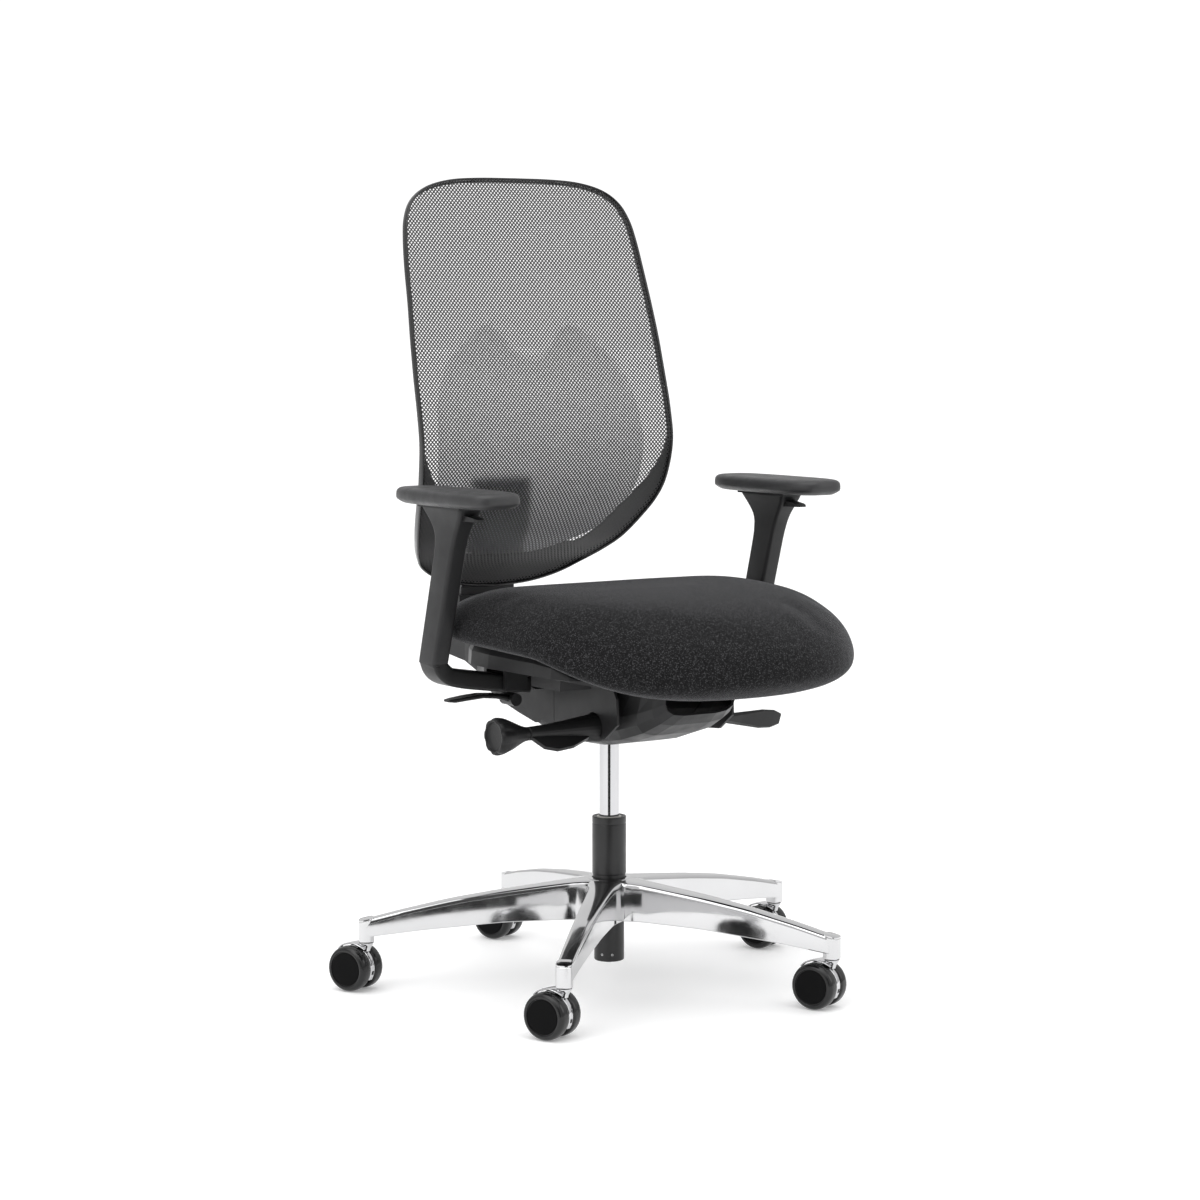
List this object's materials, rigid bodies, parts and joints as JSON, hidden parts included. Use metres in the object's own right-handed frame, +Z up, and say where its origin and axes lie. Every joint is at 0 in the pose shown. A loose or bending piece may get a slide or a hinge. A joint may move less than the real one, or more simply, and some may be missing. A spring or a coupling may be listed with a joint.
{
  "type": "swivel office chair",
  "caption": "Swivel office chair with five-star base on twin-wheel casters, gas lift, synchro tilt, upholstered seat, mesh back and adjustable arms.",
  "frame": {"origin": "middle of the footprint, on the floor", "axes": "+Z up, the chair faces -Y, +X is the left side of the person sitting in it"},
  "size_m": [0.7064, 0.7634, 1.128],
  "materials": {
    "polished_aluminium": "polished die casting",
    "chrome": "bright plated",
    "bright_steel": "ground",
    "black_powder_coat": "black powder coat",
    "dark_grey_plastic": "fine moulded texture",
    "black_plastic": "fine moulded texture",
    "gloss_black_plastic": "gloss",
    "light_grey_panel": "smooth",
    "natural_plastic": "smooth",
    "rubber": "matt",
    "charcoal_cloth": "woven upholstery",
    "black_mesh": "open knit mesh",
    "soft_pad": "skinned polyurethane foam",
    "spring_steel": "oiled"
  },
  "bodies": {
    "base": {"base_star": "polished_aluminium", "column_tube": "black_powder_coat", "column_bush": "natural_plastic"},
    "gas_rod": {"piston_rod": "bright_steel", "thrust_bearing": "bright_steel", "bump_ring": "rubber", "rod_clip": "bright_steel"},
    "chassis": {"gas_cylinder": "chrome", "column_socket": "black_powder_coat", "mechanism_housing": "dark_grey_plastic", "front_cover": "dark_grey_plastic", "recline_axle": "bright_steel", "seat_axle": "bright_steel", "tilt_spring": "spring_steel", "spring_seat": "black_powder_coat"},
    "release_pin": {"release_pin": "bright_steel"},
    "height_lever": {"height_lever": "black_plastic"},
    "tension_knob": {"tension_knob": "dark_grey_plastic"},
    "tilt_lever": {"tilt_lever": "black_plastic"},
    "back_carrier": {"back_carrier": "dark_grey_plastic"},
    "backrest": {"back_frame": "gloss_black_plastic", "back_mesh": "black_mesh", "lumbar_support": "light_grey_panel", "back_post": "dark_grey_plastic"},
    "seat_carrier": {"seat_carrier": "dark_grey_plastic"},
    "seat": {"seat_pan": "dark_grey_plastic", "seat_cushion": "charcoal_cloth"},
    "arm_bracket_r": {"arm_bracket_r": "black_plastic"},
    "width_lever_r": {"width_lever_r": "black_plastic"},
    "arm_sleeve_r": {"arm_sleeve_r": "dark_grey_plastic"},
    "arm_trigger_r": {"arm_trigger_r": "black_plastic"},
    "pad_plate_r": {"pad_plate_r": "black_plastic"},
    "arm_pad_r": {"arm_pad_r": "soft_pad"},
    "arm_bracket_l": {"arm_bracket_l": "black_plastic"},
    "width_lever_l": {"width_lever_l": "black_plastic"},
    "arm_sleeve_l": {"arm_sleeve_l": "dark_grey_plastic"},
    "arm_trigger_l": {"arm_trigger_l": "black_plastic"},
    "pad_plate_l": {"pad_plate_l": "black_plastic"},
    "arm_pad_l": {"arm_pad_l": "soft_pad"},
    "caster_1": {"caster_body_1": "chrome", "caster_axle_1": "bright_steel"},
    "caster_2": {"caster_body_2": "chrome", "caster_axle_2": "bright_steel"},
    "caster_3": {"caster_body_3": "chrome", "caster_axle_3": "bright_steel"},
    "caster_4": {"caster_body_4": "chrome", "caster_axle_4": "bright_steel"},
    "caster_5": {"caster_body_5": "chrome", "caster_axle_5": "bright_steel"},
    "caster_wheel_1a": {"caster_wheel_1a": "black_plastic"},
    "caster_wheel_1b": {"caster_wheel_1b": "black_plastic"},
    "caster_wheel_2a": {"caster_wheel_2a": "black_plastic"},
    "caster_wheel_2b": {"caster_wheel_2b": "black_plastic"},
    "caster_wheel_3a": {"caster_wheel_3a": "black_plastic"},
    "caster_wheel_3b": {"caster_wheel_3b": "black_plastic"},
    "caster_wheel_4a": {"caster_wheel_4a": "black_plastic"},
    "caster_wheel_4b": {"caster_wheel_4b": "black_plastic"},
    "caster_wheel_5a": {"caster_wheel_5a": "black_plastic"},
    "caster_wheel_5b": {"caster_wheel_5b": "black_plastic"}
  },
  "joints": [
    {"name": "swivel", "type": "hinge", "parent": "base", "child": "gas_rod", "pos_m": [-0.0079, -0.00888, 0.1], "axis": [0, 0, 1], "continuous": true},
    {"name": "lift", "type": "slide", "parent": "gas_rod", "child": "chassis", "axis": [0, 0, 1], "range_m": [-0.095, 0.015]},
    {"name": "height_lever_lift", "type": "hinge", "parent": "chassis", "child": "height_lever", "pos_m": [-0.0901, -0.11288, 0.381], "axis": [-1, 0, 0], "range_deg": [0, 12], "stiffness_Nm_per_rad": 0.6, "springref_deg": -8.59},
    {"name": "release_pin_press", "type": "slide", "parent": "chassis", "child": "release_pin", "axis": [0, 0, 1], "range_m": [-0.004, 0]},
    {"name": "tension_turn", "type": "hinge", "parent": "chassis", "child": "tension_knob", "pos_m": [-0.0901, -0.11288, 0.381], "axis": [1, 0, 0], "continuous": true},
    {"name": "tilt_lock", "type": "hinge", "parent": "chassis", "child": "tilt_lever", "pos_m": [0.0743, -0.11288, 0.381], "axis": [1, 0, 0], "range_deg": [0, 20]},
    {"name": "back_recline", "type": "hinge", "parent": "chassis", "child": "back_carrier", "pos_m": [-0.0079, 0.03612, 0.392], "axis": [-1, 0, 0], "range_deg": [0, 22], "stiffness_Nm_per_rad": 60, "springref_deg": -20.05},
    {"name": "seat_tilt", "type": "hinge", "parent": "chassis", "child": "seat_carrier", "pos_m": [-0.0079, -0.12888, 0.42], "axis": [-1, 0, 0], "range_deg": [0, 8.8]},
    {"name": "back_height", "type": "slide", "parent": "back_carrier", "child": "backrest", "axis": [0, 0, 1], "range_m": [0, 0.05]},
    {"name": "seat_depth", "type": "slide", "parent": "seat_carrier", "child": "seat", "axis": [0, -1, 0], "range_m": [0, 0.05]},
    {"name": "arm_width_r", "type": "slide", "parent": "seat_carrier", "child": "arm_bracket_r", "axis": [-1, 0, 0], "range_m": [0, 0.03]},
    {"name": "width_lock_r", "type": "hinge", "parent": "arm_bracket_r", "child": "width_lever_r", "pos_m": [-0.1479, 0.02712, 0.4085], "axis": [0, -1, 0], "range_deg": [0, 35]},
    {"name": "arm_height_r", "type": "slide", "parent": "arm_bracket_r", "child": "arm_sleeve_r", "axis": [0, -0.2759, 0.9612], "range_m": [0, 0.1]},
    {"name": "trigger_press_r", "type": "hinge", "parent": "arm_sleeve_r", "child": "arm_trigger_r", "pos_m": [-0.2749, -0.05688, 0.6682], "axis": [-1, 0, 0], "range_deg": [0, 8], "stiffness_Nm_per_rad": 0.15, "springref_deg": -8.59},
    {"name": "pad_slide_r", "type": "slide", "parent": "arm_sleeve_r", "child": "pad_plate_r", "axis": [0, 1, 0], "range_m": [-0.02, 0.02]},
    {"name": "pad_turn_r", "type": "hinge", "parent": "pad_plate_r", "child": "arm_pad_r", "pos_m": [-0.2749, -0.03788, 0.683], "axis": [0, 0, 1], "range_deg": [-15, 15]},
    {"name": "arm_width_l", "type": "slide", "parent": "seat_carrier", "child": "arm_bracket_l", "axis": [1, 0, 0], "range_m": [0, 0.03]},
    {"name": "width_lock_l", "type": "hinge", "parent": "arm_bracket_l", "child": "width_lever_l", "pos_m": [0.1321, 0.02712, 0.4085], "axis": [0, 1, 0], "range_deg": [0, 35]},
    {"name": "arm_height_l", "type": "slide", "parent": "arm_bracket_l", "child": "arm_sleeve_l", "axis": [0, -0.2759, 0.9612], "range_m": [0, 0.1]},
    {"name": "trigger_press_l", "type": "hinge", "parent": "arm_sleeve_l", "child": "arm_trigger_l", "pos_m": [0.2591, -0.05688, 0.6682], "axis": [-1, 0, 0], "range_deg": [0, 8], "stiffness_Nm_per_rad": 0.15, "springref_deg": -8.59},
    {"name": "pad_slide_l", "type": "slide", "parent": "arm_sleeve_l", "child": "pad_plate_l", "axis": [0, 1, 0], "range_m": [-0.02, 0.02]},
    {"name": "pad_turn_l", "type": "hinge", "parent": "pad_plate_l", "child": "arm_pad_l", "pos_m": [0.2591, -0.03788, 0.683], "axis": [0, 0, 1], "range_deg": [-15, 15]},
    {"name": "caster_swivel_1", "type": "hinge", "parent": "base", "child": "caster_1", "pos_m": [-0.24536, -0.25222, 0.08], "axis": [0, 0, 1], "continuous": true},
    {"name": "caster_swivel_2", "type": "hinge", "parent": "base", "child": "caster_2", "pos_m": [0.15015, -0.30991, 0.08], "axis": [0, 0, 1], "continuous": true},
    {"name": "caster_swivel_3", "type": "hinge", "parent": "base", "child": "caster_3", "pos_m": [0.32724, 0.04841, 0.08], "axis": [0, 0, 1], "continuous": true},
    {"name": "caster_swivel_4", "type": "hinge", "parent": "base", "child": "caster_4", "pos_m": [0.04118, 0.32756, 0.08], "axis": [0, 0, 1], "continuous": true},
    {"name": "caster_swivel_5", "type": "hinge", "parent": "base", "child": "caster_5", "pos_m": [-0.31271, 0.14176, 0.08], "axis": [0, 0, 1], "continuous": true},
    {"name": "wheel_roll_1a", "type": "hinge", "parent": "caster_1", "child": "caster_wheel_1a", "pos_m": [-0.25263, -0.23466, 0.0315], "axis": [0.9239, 0.3827, 0], "continuous": true},
    {"name": "wheel_roll_1b", "type": "hinge", "parent": "caster_1", "child": "caster_wheel_1b", "pos_m": [-0.25263, -0.23466, 0.0315], "axis": [0.9239, 0.3827, 0], "continuous": true},
    {"name": "wheel_roll_2a", "type": "hinge", "parent": "caster_2", "child": "caster_wheel_2a", "pos_m": [0.14288, -0.29236, 0.0315], "axis": [0.9239, 0.3827, 0], "continuous": true},
    {"name": "wheel_roll_2b", "type": "hinge", "parent": "caster_2", "child": "caster_wheel_2b", "pos_m": [0.14288, -0.29236, 0.0315], "axis": [0.9239, 0.3827, 0], "continuous": true},
    {"name": "wheel_roll_3a", "type": "hinge", "parent": "caster_3", "child": "caster_wheel_3a", "pos_m": [0.31997, 0.06596, 0.0315], "axis": [0.9239, 0.3827, 0], "continuous": true},
    {"name": "wheel_roll_3b", "type": "hinge", "parent": "caster_3", "child": "caster_wheel_3b", "pos_m": [0.31997, 0.06596, 0.0315], "axis": [0.9239, 0.3827, 0], "continuous": true},
    {"name": "wheel_roll_4a", "type": "hinge", "parent": "caster_4", "child": "caster_wheel_4a", "pos_m": [0.03391, 0.34511, 0.0315], "axis": [0.9239, 0.3827, 0], "continuous": true},
    {"name": "wheel_roll_4b", "type": "hinge", "parent": "caster_4", "child": "caster_wheel_4b", "pos_m": [0.03391, 0.34511, 0.0315], "axis": [0.9239, 0.3827, 0], "continuous": true},
    {"name": "wheel_roll_5a", "type": "hinge", "parent": "caster_5", "child": "caster_wheel_5a", "pos_m": [-0.31998, 0.15932, 0.0315], "axis": [0.9239, 0.3827, 0], "continuous": true},
    {"name": "wheel_roll_5b", "type": "hinge", "parent": "caster_5", "child": "caster_wheel_5b", "pos_m": [-0.31998, 0.15932, 0.0315], "axis": [0.9239, 0.3827, 0], "continuous": true}
  ],
  "couplings": [
    {"joint": "release_pin_press", "follows": "height_lever_lift", "m_per_rad": -0.0191},
    {"joint": "seat_tilt", "follows": "back_recline", "ratio": 0.4}
  ]
}
